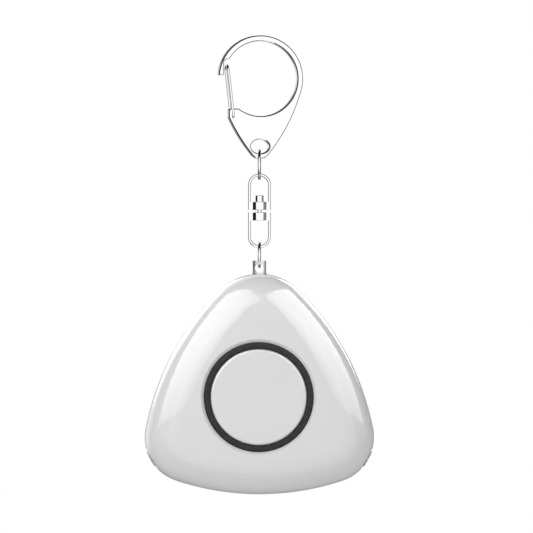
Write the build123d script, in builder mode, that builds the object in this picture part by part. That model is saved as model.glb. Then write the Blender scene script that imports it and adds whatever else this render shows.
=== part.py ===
from build123d import *
import os
from math import cos, radians, sin, sqrt

os.makedirs("parts", exist_ok=True)

# Personal safety alarm that hangs on a key-ring chain.
# X runs to the right, +Z up and the front faces -Y. Millimetres.
# The origin is the point inside the top of the hook from which everything hangs.

# Shared clearances
overrun = 1.0
running_gap = 0.05
sliding_gap = 0.15
link_gap = 0.15
seat_gap = 0.10

# Snap hook
hook_inner_radius = 10.5
hook_band = 1.6
hook_shift = 0.2
hook_plate = 2.6
hook_bevel = 0.3
hook_turn = 13.0
hook_flank_radius = 50.0
tail_drop = 19.5
tail_radius = 3.0
eye_drop = 19.0
eye_half_width = 2.65
eye_half_height = 1.95
nose_tip_rise = 0.9
nose_inner_reach = 10.3
notch_radius = 1.0
notch_rise = 4.4
lobe_top_drop = 8.4
lobe_reach = 9.0
nose_round = 0.6
lobe_round = 0.7
notch_round = 0.5

# Wire gate
gate_wire = 0.7
gate_length = 14.5
gate_lean = 6.5
gate_side_gap = 0.2
gate_bend = 0.5
gate_pin_reach = 0.35
gate_pivot_reach = 7.75
gate_pivot_drop = 10.7

# Jump rings
ring_wire = 0.85
upper_ring_size = 8.65
upper_ring_rise = 1.25
lower_ring_size = 7.4
ring_split = 3.0

# Swivel
loop_wire = 0.8
loop_width = 6.4
upper_loop_length = 10.2
lower_loop_length = 10.0
bar_height = 2.25
bar_depth = 1.3
bar_corner_round = 0.4
hub_radius = 2.1
hub_rim_round = 0.2
hub_spacing = 0.7
rivet_radius = 0.6
rivet_head_radius = 1.2
rivet_head_height = 1.75
rivet_head_round = 0.25
rivet_tail_radius = 1.2
rivet_tail_height = 0.5

# Pull pin
pin_head_width = 3.8
pin_head_depth = 2.5
pin_head_height = 4.2
pin_collar_radius = 2.0
pin_collar_height = 0.7
pin_eye_radius = 1.25
pin_eye_seat = 0.4
pin_eye_drop = 2.1
pin_shaft_radius = 1.2
pin_shaft_length = 12.2
pin_tip = 0.5
pin_recess = 0.6

# Casing outline, about the button's centre
casing_rise = 34.4
casing_drop = 27.3
casing_half_width = 32.1
apex_radius = 15.7
side_radius = 74.0
corner_radius = 12.8
bottom_radius = 74.0
wall = 1.8
front_depth = 12.6
back_depth = 9.0
front_dome = 200.0
front_shoulder = 10.8
back_shoulder = 6.5

# Button, bezel and their opening
button_radius = 13.3
button_rise = 0.15
button_thickness = 1.5
button_edge_round = 0.6
button_flange = 0.9
button_flange_thickness = 0.8
button_travel = 0.6
button_wall = 1.3
button_pocket_depth = 1.2
button_post_radius = 3.0
bezel_rim = 2.0
bezel_sink = 0.45
bezel_edge_round = 0.6
bezel_flange = 1.2
bezel_flange_thickness = 0.6
opening_chamfer = 0.9
collar_wall = 1.1

# Casing screws and their bosses
boss_radius = 2.4
boss_high_reach = 11.0
boss_sounder_gap = 1.6
boss_low_reach = 2.7
boss_low_rise = 5.4
screw_radius = 1.0
screw_pilot_depth = 5.5
screw_head_radius = 1.8
screw_head_height = 1.3
screw_head_sink = 2.4
screw_head_round = 0.5
screw_slot_width = 0.5
screw_slot_depth = 0.5

# Lamp windows in the lower corners
lamp_angle = 29.0
lamp_facet = 0.5
lens_radius = 2.7
lens_round = 0.9
lens_flange_radius = 3.3
lens_flange_thickness = 0.75
lens_flange_sink = 0.65
led_radius = 1.5
led_length = 4.6
led_rim = 0.35
led_rim_thickness = 0.8
led_gap = 0.5
lead_size = 0.5
lead_spread = 0.65
lead_reach = 1.0

# Circuit board and what it carries
board_inset = 4.2
board_back = 4.2
board_thickness = 1.0
board_boss_gap = 0.3
switch_size = 6.0
switch_height = 3.3
switch_plunger_radius = 1.6
chip_size = (6.0, 5.0, 1.5)
chip_place = (-9.0, 5.0)
coil_radius = 3.6
coil_gap = 1.1
coil_flange = 0.7
coil_neck = 0.9
coil_place = (9.5, 4.0)

# Sounder in the back of the casing
sounder_radius = 14.9
sounder_wall = 1.1
sounder_front = 1.5
sounder_step = 1.4
piezo_thickness = 0.4
ceramic_margin = 4.15
ceramic_thickness = 0.25
slot_width = 1.3
slot_pitch = 2.7
grille_margin = 2.2

# Pin guide and contact leaves
guide_radius = 2.5
guide_seat = 0.5
guide_length = 7.4
leaf_gap = 0.2
leaf_thickness = 0.3
leaf_width = 2.6
leaf_length = 5.6

# Battery cells, holder and door
cell_radius = 5.8
cell_length = 5.4
cell_count = 3
cell_cap_radius = 4.6
cell_cap_height = 0.6
battery_floor_gap = 1.95
battery_front = 0.4
holder_wall = 0.55
holder_end_wall = 1.2
holder_rise = 4.4
holder_lip = 0.2
contact_thickness = 0.3
contact_size = 7.0
contact_gap = 0.2
contact_foot_lap = 1.7
contact_foot_rise = 7.4
door_half_height = 6.05
door_left = 10.4
door_right = 14.9
door_corner = 1.5
door_pad_width = 12.0
door_pad_height = 4.0
door_screw_place = 12.5
door_boss_radius = 1.9
door_boss_length = 6.0
door_screw_length = 4.6
door_countersink = 1.0


def bridge(upper, upper_radius, lower, lower_radius, radius):
    """Ends and middle of a large arc that runs tangent down the right of two smaller circles."""
    span = lower - upper
    upper_reach = radius - upper_radius
    lower_reach = radius - lower_radius
    along = (upper_reach**2 - lower_reach**2 + span.length**2) / (2 * span.length)
    off = sqrt(upper_reach**2 - along**2)
    down = span.normalized()
    centre = upper + down * along + Vector(down.Y, -down.X) * off
    start = centre + (upper - centre).normalized() * radius
    end = centre + (lower - centre).normalized() * radius
    middle = centre + ((start + end) / 2 - centre).normalized() * radius
    return start, middle, end


def arc_middle(centre, radius, start, end):
    """Middle of the short arc from start to end about a centre."""
    return centre + ((start + end) / 2 - centre).normalized() * radius


# Heights down the chain
hook_centre_z = -hook_inner_radius
eye_floor_z = hook_centre_z - eye_drop - eye_half_height
upper_ring_z = eye_floor_z + upper_ring_rise - upper_ring_size / 2
upper_ring_radius = (upper_ring_size - ring_wire) / 2
upper_ring_foot_z = upper_ring_z - upper_ring_radius
upper_arch_z = upper_ring_foot_z + (ring_wire + loop_wire) / 2 + link_gap
upper_loop_top_z = upper_arch_z + loop_wire / 2
upper_hub_z = upper_loop_top_z - upper_loop_length
lower_hub_z = upper_hub_z - hub_spacing - bar_height
lower_loop_foot_z = lower_hub_z + bar_height - lower_loop_length
lower_arch_z = lower_loop_foot_z + loop_wire / 2
lower_ring_radius = (lower_ring_size - ring_wire) / 2
lower_ring_top_z = lower_arch_z + (ring_wire + loop_wire) / 2 + link_gap
lower_ring_z = lower_ring_top_z - lower_ring_radius
lower_ring_foot_z = lower_ring_z - lower_ring_radius
pin_eye_z = lower_ring_foot_z + ring_wire / 2 + pin_eye_seat - pin_eye_radius
pin_top_z = pin_eye_z + pin_eye_drop
pin_seat_z = pin_top_z - pin_head_height
casing_top_z = pin_seat_z - seat_gap + pin_recess
casing_z = casing_top_z - casing_rise

# Sketch planes of the casing, counted towards the front, with Y up
front_plane = Plane(origin=(0, 0, casing_z), x_dir=(1, 0, 0), z_dir=(0, -1, 0))

# Centres of the casing outline's arcs
apex_centre = Vector(0, casing_rise - apex_radius)
bottom_centre = Vector(0, bottom_radius - casing_drop)
corner_x = casing_half_width - corner_radius
corner_y = bottom_centre.Y - sqrt((bottom_radius - corner_radius) ** 2 - corner_x**2)
corner_centre = Vector(corner_x, corner_y)


def casing_outline(inset):
    """Rounded triangle of tangent arcs, drawn on its right side and mirrored, inset all round."""
    side_start, side_middle, side_end = bridge(
        apex_centre,
        apex_radius - inset,
        corner_centre,
        corner_radius - inset,
        side_radius - inset,
    )
    top = Vector(0, casing_rise - inset)
    bottom = Vector(0, inset - casing_drop)
    foot = corner_centre + (corner_centre - bottom_centre).normalized() * (corner_radius - inset)
    apex_middle = arc_middle(apex_centre, apex_radius - inset, top, side_start)
    corner_middle = arc_middle(corner_centre, corner_radius - inset, side_end, foot)
    bottom_middle = arc_middle(bottom_centre, bottom_radius - inset, foot, bottom)
    with BuildSketch() as outline:
        with BuildLine():
            ThreePointArc(top, apex_middle, side_start)
            ThreePointArc(side_start, side_middle, side_end)
            ThreePointArc(side_end, corner_middle, foot)
            ThreePointArc(foot, bottom_middle, bottom)
            mirror(about=Plane.YZ)
        make_face()
    return outline.sketch


def front_pillow(inset):
    """Front half of the casing as a solid, domed and with soft shoulders, inset all round."""
    depth = front_depth - inset
    dome = front_dome - inset
    with BuildPart() as half:
        with BuildSketch(front_plane):
            add(casing_outline(inset))
        extrude(amount=depth)
        with Locations((0, dome - depth, casing_z)):
            Sphere(dome, mode=Mode.INTERSECT)
        face = half.faces().sort_by(Axis.Y)[0]
        fillet(face.edges(), radius=front_shoulder - inset)
    return half.part


def back_pillow(inset):
    """Back half of the casing as a solid, flat behind and with soft shoulders, inset all round."""
    with BuildPart() as half:
        with BuildSketch(front_plane):
            add(casing_outline(inset))
        extrude(amount=-(back_depth - inset))
        face = half.faces().sort_by(Axis.Y)[-1]
        fillet(face.edges(), radius=back_shoulder - inset)
    return half.part


def lamp_plane(side):
    """Plane at a lower corner's centre whose normal points out through the lamp window."""
    angle = radians(lamp_angle)
    return Plane(
        origin=(side * corner_x, 0, casing_z + corner_y),
        x_dir=(0, 1, 0),
        z_dir=(side * cos(angle), 0, -sin(angle)),
    )


# Snap hook: a flat plate with a round opening, a nose, a lobe and an eye in its tail
hook_outer_radius = hook_inner_radius + hook_band
hook_centre = Vector(hook_shift, hook_centre_z)
tail_centre = Vector(0, hook_centre_z - tail_drop)
flank_start, flank_middle, flank_end = bridge(
    hook_centre, hook_outer_radius, tail_centre, tail_radius, hook_flank_radius
)
mouth_top_z = hook_centre_z + nose_tip_rise
mouth_floor_z = hook_centre_z - lobe_top_drop
notch_centre = Vector(notch_radius - nose_inner_reach, hook_centre_z + notch_rise)
gate_pivot = Vector(-gate_pivot_reach, 0, hook_centre_z - gate_pivot_drop)

with BuildPart() as hook_body:
    with BuildSketch(Plane.XZ) as hook_profile:
        with BuildLine():
            ThreePointArc(flank_start, flank_middle, flank_end)
            tail_foot = tail_centre - Vector(0, tail_radius)
            ThreePointArc(
                flank_end, arc_middle(tail_centre, tail_radius, flank_end, tail_foot), tail_foot
            )
            Line(flank_start, (0, flank_start.Y))
            mirror(about=Plane.YZ)
        make_face()
        with Locations(hook_centre):
            Circle(hook_outer_radius)
            Circle(hook_inner_radius, mode=Mode.SUBTRACT)
        with Locations((0, hook_centre_z - eye_drop)):
            Ellipse(eye_half_width, eye_half_height, mode=Mode.SUBTRACT)
        # Mouth between the nose and the lobe
        with Locations((-hook_outer_radius, mouth_floor_z)):
            Rectangle(
                hook_outer_radius,
                mouth_top_z - mouth_floor_z,
                align=(Align.CENTER, Align.MIN),
                mode=Mode.SUBTRACT,
            )
        # Straight side of the lobe
        with Locations((-lobe_reach, mouth_floor_z + overrun)):
            Rectangle(
                hook_outer_radius,
                notch_rise + overrun,
                align=(Align.MAX, Align.MAX),
                mode=Mode.SUBTRACT,
            )
        # Notch inside the nose that takes the gate's end
        with Locations(notch_centre):
            Circle(notch_radius, mode=Mode.SUBTRACT)
        with Locations((-nose_inner_reach, mouth_top_z - overrun)):
            Rectangle(
                notch_radius,
                notch_rise - nose_tip_rise + overrun,
                align=(Align.MIN, Align.MIN),
                mode=Mode.SUBTRACT,
            )
        corners = hook_profile.vertices()
        tip = corners.filter_by_position(Axis.Y, mouth_top_z - running_gap, mouth_top_z + running_gap)
        fillet(tip, radius=nose_round)
        corners = hook_profile.vertices()
        lobe = corners.filter_by_position(
            Axis.Y, mouth_floor_z - running_gap, mouth_floor_z + running_gap
        )
        fillet(lobe, radius=lobe_round)
        cusp = hook_profile.vertices().sort_by_distance(notch_centre + Vector(notch_radius, 0))[0]
        fillet(cusp, radius=notch_round)
    extrude(amount=hook_plate / 2, both=True)
    rims = hook_body.faces().filter_by(Axis.Y).edges()
    chamfer(rims, length=hook_bevel)
    with Locations(Plane.XZ * Pos(-gate_pivot_reach, gate_pivot.Z)):
        Hole(gate_wire / 2 + running_gap)
hook_turned = hook_body.part.rotate(Axis.Z, hook_turn)
hook_turned.label = "hook_body"
export_step(hook_turned, "parts/hook_body.step")

# Gate: one wire bent over the plate, both ends turned into the lobe's hole
gate_plane = Plane(
    origin=gate_pivot,
    x_dir=(0, 1, 0),
    z_dir=(cos(radians(gate_lean)), 0, sin(radians(gate_lean))),
)
gate_leg = hook_plate / 2 + gate_side_gap + gate_wire / 2
gate_arch = gate_length - gate_leg

with BuildPart() as hook_gate:
    with BuildLine(gate_plane) as gate_path:
        FilletPolyline(
            (-gate_pin_reach, 0), (-gate_leg, 0), (-gate_leg, gate_arch), radius=gate_bend
        )
        ThreePointArc((-gate_leg, gate_arch), (0, gate_length), (gate_leg, gate_arch))
        FilletPolyline(
            (gate_leg, gate_arch), (gate_leg, 0), (gate_pin_reach, 0), radius=gate_bend
        )
    gate_start = gate_plane.from_local_coords(Vector(-gate_pin_reach, 0))
    with BuildSketch(Plane(origin=gate_start, z_dir=(0, -1, 0))):
        Circle(gate_wire / 2)
    sweep(path=gate_path.wires()[0])
gate_turned = hook_gate.part.rotate(Axis.Z, hook_turn)
gate_turned.label = "hook_gate"
export_step(gate_turned, "parts/hook_gate.step")


def jump_ring(z, radius):
    """Ring of round wire that lies front to back, split at the side where it was bent shut."""
    with BuildPart() as ring:
        with BuildSketch(Plane.XY.offset(z)):
            with Locations((0, radius)):
                Circle(ring_wire / 2)
        revolve(axis=Axis((0, 0, z), (1, 0, 0)), revolution_arc=360 - ring_split)
    return ring.part


ring_upper = jump_ring(upper_ring_z, upper_ring_radius)
ring_upper.label = "ring_upper"
export_step(ring_upper, "parts/ring_upper.step")

ring_lower = jump_ring(lower_ring_z, lower_ring_radius)
ring_lower.label = "ring_lower"
export_step(ring_lower, "parts/ring_lower.step")


def swivel_half(bar_z, length, up):
    """Wire loop that springs from a flat bar with a round hub, the loop above it or below it."""
    leg_x = (loop_width - loop_wire) / 2
    foot = bar_z + bar_height / 2
    arch = bar_z + up * (length - loop_wire / 2 - leg_x)
    if up < 0:
        arch += bar_height
    with BuildPart() as half:
        with BuildSketch(Plane.XY.offset(bar_z)):
            RectangleRounded(loop_width, bar_depth, bar_corner_round)
        extrude(amount=bar_height)
        with BuildSketch(Plane.XY.offset(bar_z)):
            Circle(hub_radius)
        extrude(amount=bar_height)
        rims = half.edges().filter_by(GeomType.CIRCLE).filter_by(
            lambda edge: abs(edge.radius - hub_radius) < running_gap
        )
        fillet(rims, radius=hub_rim_round)
        with BuildLine(Plane.XZ) as loop_path:
            Line((-leg_x, foot), (-leg_x, arch))
            ThreePointArc((-leg_x, arch), (0, arch + up * leg_x), (leg_x, arch))
            Line((leg_x, arch), (leg_x, foot))
        with BuildSketch(Plane.XY.offset(foot)):
            with Locations((-leg_x, 0)):
                Circle(loop_wire / 2)
        sweep(path=loop_path.wires()[0])
    return half.part


with BuildPart() as swivel_upper:
    add(swivel_half(upper_hub_z, upper_loop_length, 1))
    with Locations((0, 0, upper_hub_z + bar_height)):
        Hole(rivet_radius + running_gap, depth=bar_height)
swivel_upper.part.label = "swivel_upper"
export_step(swivel_upper.part, "parts/swivel_upper.step")

with BuildPart() as swivel_lower:
    add(swivel_half(lower_hub_z, lower_loop_length, -1))
    with Locations((0, 0, lower_hub_z + bar_height)):
        Hole(rivet_radius, depth=bar_height)
    with BuildSketch(Plane.XY.offset(lower_hub_z)):
        Circle(rivet_tail_radius)
    extrude(amount=rivet_tail_height, mode=Mode.SUBTRACT)
swivel_lower.part.label = "swivel_lower"
export_step(swivel_lower.part, "parts/swivel_lower.step")

# Rivet: head over the upper hub, tail clenched flush in the foot of the lower hub
rivet_head_z = upper_hub_z + bar_height + running_gap

with BuildPart() as swivel_rivet:
    with BuildSketch(Plane.XY.offset(rivet_head_z)):
        Circle(rivet_head_radius)
    extrude(amount=rivet_head_height)
    fillet(swivel_rivet.edges().sort_by(Axis.Z)[-1], radius=rivet_head_round)
    with BuildSketch(Plane.XY.offset(lower_hub_z)):
        Circle(rivet_radius)
    extrude(amount=rivet_head_z - lower_hub_z)
    with BuildSketch(Plane.XY.offset(lower_hub_z)):
        Circle(rivet_tail_radius)
    extrude(amount=rivet_tail_height)
swivel_rivet.part.label = "swivel_rivet"
export_step(swivel_rivet.part, "parts/swivel_rivet.step")

# Pull pin: flattened head with a cross eye, a round collar and a tapered shaft
pin_tip_z = pin_seat_z - pin_shaft_length

with BuildPart() as pull_pin:
    with BuildSketch(Plane.XY.offset(pin_seat_z + pin_collar_height)):
        Ellipse(pin_head_width / 2, pin_head_depth / 2)
    extrude(amount=pin_head_height - pin_collar_height)
    with BuildSketch(Plane.XY.offset(pin_seat_z)):
        Circle(pin_collar_radius)
    extrude(amount=pin_collar_height)
    with BuildSketch(Plane.XY.offset(pin_tip_z)):
        Circle(pin_shaft_radius)
    extrude(amount=pin_shaft_length)
    chamfer(pull_pin.edges().sort_by(Axis.Z)[0], length=pin_tip)
    with Locations(Plane.XZ * Pos(0, pin_eye_z)):
        Hole(pin_eye_radius)
pull_pin.part.label = "pull_pin"
export_step(pull_pin.part, "parts/pull_pin.step")

# Parts of the opening in the front that the button, bezel and shell share
bezel_radius = button_radius + bezel_rim
opening_radius = bezel_radius + running_gap
opening_rim = front_depth - front_dome + sqrt(front_dome**2 - opening_radius**2)
button_face = opening_rim + button_rise
bezel_face = opening_rim - bezel_sink
shelf_radius = bezel_radius + bezel_flange
shelf_face = front_depth - wall - seat_gap - (front_dome - sqrt(front_dome**2 - shelf_radius**2))
shelf_back = shelf_face - bezel_flange_thickness
collar_radius = shelf_radius + running_gap + collar_wall
button_back = button_face - button_thickness - button_flange_thickness
lip_back = button_face - button_thickness + running_gap

# Heights inside the casing, from its foot up: battery, sounder, upper screws
holder_radius = cell_radius + holder_lip + holder_wall
battery_drop = casing_drop - wall - battery_floor_gap - holder_radius
sounder_rise = holder_radius + sliding_gap + sounder_radius - battery_drop
sounder_height = back_depth - wall - sounder_front
boss_spacing = sounder_radius + boss_sounder_gap + boss_radius
boss_high_y = sounder_rise + sqrt(boss_spacing**2 - boss_high_reach**2)
boss_low_x = corner_x + boss_low_reach
boss_low_y = corner_y + boss_low_rise
bosses = [
    (boss_high_reach, boss_high_y),
    (-boss_high_reach, boss_high_y),
    (boss_low_x, boss_low_y),
    (-boss_low_x, boss_low_y),
]

front_outer = front_pillow(0)
front_inner = front_pillow(wall)
back_outer = back_pillow(0)
back_inner = back_pillow(wall)


def pin_way():
    """Space of the pull pin in the casing's apex, with a recess for its collar."""
    with BuildPart() as way:
        with BuildSketch(Plane.XY.offset(casing_top_z - pin_recess)):
            Circle(pin_collar_radius + sliding_gap)
        extrude(amount=pin_recess + overrun)
        with BuildSketch(Plane.XY.offset(casing_top_z - pin_recess)):
            Circle(pin_shaft_radius + sliding_gap)
        extrude(amount=-(wall + overrun))
    return way.part


def lamp_way(side):
    """Space of a lamp window in a lower corner: a flat facet and a round hole."""
    plane = lamp_plane(side)
    with BuildPart() as way:
        with BuildSketch(plane.offset(corner_radius - lamp_facet)):
            Rectangle(front_depth + back_depth, 2 * corner_radius)
        extrude(amount=lamp_facet + overrun)
        with BuildSketch(plane.offset(corner_radius - wall - lens_flange_sink)):
            Circle(lens_radius + running_gap)
        extrude(amount=wall + lens_flange_sink + overrun)
    return way.part


with BuildPart() as front_ribs:
    with BuildSketch(front_plane):
        with Locations(*bosses):
            Circle(boss_radius)
    extrude(amount=front_depth)
    with BuildSketch(front_plane.offset(shelf_back)):
        Circle(collar_radius)
    extrude(amount=front_depth - shelf_back)
    with BuildSketch(front_plane):
        Circle(collar_radius - collar_wall)
    extrude(amount=front_depth, mode=Mode.SUBTRACT)
    add(front_outer, mode=Mode.INTERSECT)

with BuildPart() as front_shell:
    add(front_outer)
    add(front_inner, mode=Mode.SUBTRACT)
    add(front_ribs.part)
    with BuildSketch(front_plane.offset(shelf_back)):
        Circle(opening_radius)
    extrude(amount=front_depth, mode=Mode.SUBTRACT)
    with Locations(front_plane.offset(opening_rim - opening_chamfer / 2 + overrun / 2)):
        Cone(
            bottom_radius=opening_radius,
            top_radius=opening_radius + opening_chamfer + overrun,
            height=opening_chamfer + overrun,
            mode=Mode.SUBTRACT,
        )
    with BuildSketch(front_plane):
        with Locations(*bosses):
            Circle(screw_radius)
    extrude(amount=screw_pilot_depth, mode=Mode.SUBTRACT)
    add(pin_way(), mode=Mode.SUBTRACT)
    add(lamp_way(1), mode=Mode.SUBTRACT)
    add(lamp_way(-1), mode=Mode.SUBTRACT)
front_shell.part.label = "front_shell"
export_step(front_shell.part, "parts/front_shell.step")

# Back shell: flat behind, with screw bosses, a sound outlet and the battery opening
battery_z = casing_z - battery_drop

with BuildPart() as back_ribs:
    with BuildSketch(front_plane):
        with Locations(*bosses):
            Circle(boss_radius)
    extrude(amount=-back_depth)
    add(back_outer, mode=Mode.INTERSECT)


def draw_door(gap):
    """Outline of the battery door on the back, grown by a gap."""
    with Locations(((door_right - door_left) / 2, -battery_drop)):
        RectangleRounded(
            door_left + door_right + 2 * gap, 2 * (door_half_height + gap), door_corner + gap
        )


grille_radius = sounder_radius - 2 * sounder_wall - grille_margin
slot_count = int(2 * grille_radius / slot_pitch)

with BuildPart() as back_shell:
    add(back_outer)
    add(back_inner, mode=Mode.SUBTRACT)
    add(back_ribs.part)
    with BuildSketch(front_plane.offset(-back_depth)):
        with Locations(*bosses):
            Circle(screw_head_radius + sliding_gap)
    extrude(amount=screw_head_sink, mode=Mode.SUBTRACT)
    with BuildSketch(front_plane.offset(-back_depth)):
        with Locations(*bosses):
            Circle(screw_radius + sliding_gap)
    extrude(amount=back_depth, mode=Mode.SUBTRACT)
    with BuildSketch(front_plane.offset(-back_depth)):
        draw_door(sliding_gap)
    extrude(amount=wall, mode=Mode.SUBTRACT)
    with BuildSketch(front_plane.offset(-back_depth)):
        for step in range(slot_count):
            rise = (step - (slot_count - 1) / 2) * slot_pitch
            half_length = sqrt(grille_radius**2 - rise**2)
            with Locations((0, sounder_rise + rise)):
                SlotOverall(2 * half_length, slot_width)
    extrude(amount=wall, mode=Mode.SUBTRACT)
    add(pin_way(), mode=Mode.SUBTRACT)
    add(lamp_way(1), mode=Mode.SUBTRACT)
    add(lamp_way(-1), mode=Mode.SUBTRACT)
back_shell.part.label = "back_shell"
export_step(back_shell.part, "parts/back_shell.step")

# Rubber bezel: a lip round the button and a flange glued behind the shell
with BuildPart() as button_bezel:
    with BuildSketch(front_plane.offset(shelf_back)):
        Circle(bezel_radius)
    extrude(amount=bezel_face - shelf_back)
    with BuildSketch(front_plane.offset(shelf_back)):
        Circle(shelf_radius)
    extrude(amount=bezel_flange_thickness)
    with BuildSketch(front_plane.offset(shelf_back)):
        Circle(button_radius + sliding_gap)
    extrude(amount=bezel_face - shelf_back, mode=Mode.SUBTRACT)
    with BuildSketch(front_plane.offset(shelf_back)):
        Circle(button_radius + button_flange + sliding_gap)
    extrude(amount=lip_back - shelf_back, mode=Mode.SUBTRACT)
    fillet(button_bezel.edges().group_by(Axis.Y)[0], radius=bezel_edge_round)
button_bezel.part.label = "button_bezel"
export_step(button_bezel.part, "parts/button_bezel.step")

# Button: a round cap with a flange behind the bezel's lip and a post in its pocket
with BuildPart() as button_cap:
    with BuildSketch(front_plane.offset(button_back)):
        Circle(button_radius)
    extrude(amount=button_face - button_back)
    fillet(button_cap.edges().sort_by(Axis.Y)[0], radius=button_edge_round)
    with BuildSketch(front_plane.offset(button_back)):
        Circle(button_radius + button_flange)
    extrude(amount=button_flange_thickness)
    with BuildSketch(front_plane.offset(button_back)):
        Circle(button_radius - button_wall)
        Circle(button_post_radius, mode=Mode.SUBTRACT)
    extrude(amount=button_pocket_depth, mode=Mode.SUBTRACT)
button_cap.part.label = "button_cap"
export_step(button_cap.part, "parts/button_cap.step")

# Lamp windows and the lamps behind them
lens_outer = corner_radius
lens_flange_face = corner_radius - wall - lens_flange_sink


def lens(side):
    """Clear plug with a rounded outer face and a flange inside the casing."""
    plane = lamp_plane(side)
    with BuildPart() as plug:
        with BuildSketch(plane.offset(lens_flange_face)):
            Circle(lens_radius)
        extrude(amount=lens_outer - lens_flange_face)
        rims = plug.edges().filter_by(GeomType.CIRCLE)
        fillet(rims.sort_by_distance(plane.offset(2 * lens_outer).origin)[0], radius=lens_round)
        with BuildSketch(plane.offset(lens_flange_face)):
            Circle(lens_flange_radius)
        extrude(amount=-lens_flange_thickness)
    return plug.part


def lamp(side):
    """Small lamp with a round nose, a rim and two wires bent forward to the board."""
    nose = lens_flange_face - lens_flange_thickness - led_gap
    base = nose - led_length
    plane = lamp_plane(side)
    with BuildPart() as bulb:
        with BuildSketch(plane.offset(base)):
            Circle(led_radius)
        extrude(amount=led_length - led_radius)
        with Locations(plane.offset(nose - led_radius)):
            Sphere(led_radius)
        with BuildSketch(plane.offset(base)):
            Circle(led_radius + led_rim)
        extrude(amount=led_rim_thickness)
        with BuildSketch(plane.offset(base)):
            with Locations((0, lead_spread), (0, -lead_spread)):
                Rectangle(lead_size, lead_size)
        extrude(amount=-lead_reach)
        foot = plane.offset(base - lead_reach + lead_size / 2)
        wire_plane = Plane(origin=foot.origin, x_dir=foot.y_dir, z_dir=(0, -1, 0))
        with BuildSketch(wire_plane.offset(-lead_size / 2)):
            with Locations((lead_spread, 0), (-lead_spread, 0)):
                Rectangle(lead_size, lead_size)
        extrude(amount=board_back + lead_size / 2)
    return bulb.part


lens_right = lens(1)
lens_right.label = "lens_right"
export_step(lens_right, "parts/lens_right.step")

lens_left = lens(-1)
lens_left.label = "lens_left"
export_step(lens_left, "parts/lens_left.step")

led_right = lamp(1)
led_right.label = "led_right"
export_step(led_right, "parts/led_right.step")

led_left = lamp(-1)
led_left.label = "led_left"
export_step(led_left, "parts/led_left.step")

# Circuit board: follows the casing, cut away for the bosses and for the battery
holder_half_length = cell_count * cell_length / 2 + contact_gap + contact_thickness + holder_end_wall
board_foot = battery_drop - sqrt(holder_radius**2 - (board_back - battery_front) ** 2) - board_boss_gap

with BuildPart() as circuit_board:
    with BuildSketch(front_plane.offset(board_back)):
        add(casing_outline(board_inset))
        with Locations(*bosses):
            Circle(boss_radius + board_boss_gap, mode=Mode.SUBTRACT)
        with Locations((0, -board_foot)):
            Rectangle(
                2 * (holder_half_length + board_boss_gap),
                casing_drop,
                align=(Align.CENTER, Align.MAX),
                mode=Mode.SUBTRACT,
            )
    extrude(amount=board_thickness)
circuit_board.part.label = "circuit_board"
export_step(circuit_board.part, "parts/circuit_board.step")

board_face = board_back + board_thickness

# Push switch on the board, its plunger just short of the button's post
plunger_face = button_back - button_travel - running_gap

with BuildPart() as tact_switch:
    with BuildSketch(front_plane.offset(board_face)):
        Rectangle(switch_size, switch_size)
    extrude(amount=switch_height)
    with BuildSketch(front_plane.offset(board_face)):
        Circle(switch_plunger_radius)
    extrude(amount=plunger_face - board_face)
tact_switch.part.label = "tact_switch"
export_step(tact_switch.part, "parts/tact_switch.step")

with BuildPart() as control_chip:
    with BuildSketch(front_plane.offset(board_back)):
        with Locations(chip_place):
            Rectangle(chip_size[0], chip_size[1])
    extrude(amount=-chip_size[2])
control_chip.part.label = "control_chip"
export_step(control_chip.part, "parts/control_chip.step")

# Step-up coil: a bobbin with two flanges, short of the sounder behind it
coil_height = board_back + sounder_front - coil_gap

with BuildPart() as boost_coil:
    with BuildSketch(front_plane.offset(board_back)):
        with Locations(coil_place):
            Circle(coil_radius)
    extrude(amount=-coil_height)
    with BuildSketch(front_plane.offset(board_back - coil_flange)):
        with Locations(coil_place):
            Circle(coil_radius)
            Circle(coil_radius - coil_neck, mode=Mode.SUBTRACT)
    extrude(amount=-(coil_height - 2 * coil_flange), mode=Mode.SUBTRACT)
boost_coil.part.label = "boost_coil"
export_step(boost_coil.part, "parts/boost_coil.step")

# Sounder: a stepped cup open towards the outlet, with the piezo disc on its step
sounder_plane = front_plane.offset(-(back_depth - wall))
sounder_centre = (0, sounder_rise)

with BuildPart() as sounder_cup:
    with BuildSketch(sounder_plane):
        with Locations(sounder_centre):
            Circle(sounder_radius)
    extrude(amount=sounder_height)
    with BuildSketch(sounder_plane):
        with Locations(sounder_centre):
            Circle(sounder_radius - sounder_wall)
    extrude(amount=sounder_height - sounder_wall - sounder_step, mode=Mode.SUBTRACT)
    with BuildSketch(sounder_plane):
        with Locations(sounder_centre):
            Circle(sounder_radius - 2 * sounder_wall)
    extrude(amount=sounder_height - sounder_wall, mode=Mode.SUBTRACT)
sounder_cup.part.label = "sounder_cup"
export_step(sounder_cup.part, "parts/sounder_cup.step")

piezo_plane = sounder_plane.offset(sounder_height - sounder_wall - sounder_step)
piezo_radius = sounder_radius - sounder_wall - sliding_gap

with BuildPart() as piezo_disc:
    with BuildSketch(piezo_plane):
        with Locations(sounder_centre):
            Circle(piezo_radius)
    extrude(amount=-piezo_thickness)
    with BuildSketch(piezo_plane):
        with Locations(sounder_centre):
            Circle(piezo_radius - ceramic_margin)
    extrude(amount=ceramic_thickness)
piezo_disc.part.label = "piezo_disc"
export_step(piezo_disc.part, "parts/piezo_disc.step")

# Guide tube under the apex and the two leaves that the pull pin holds apart
guide_top_z = casing_top_z - wall - guide_seat
leaf_top_z = guide_top_z - guide_length - seat_gap

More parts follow.
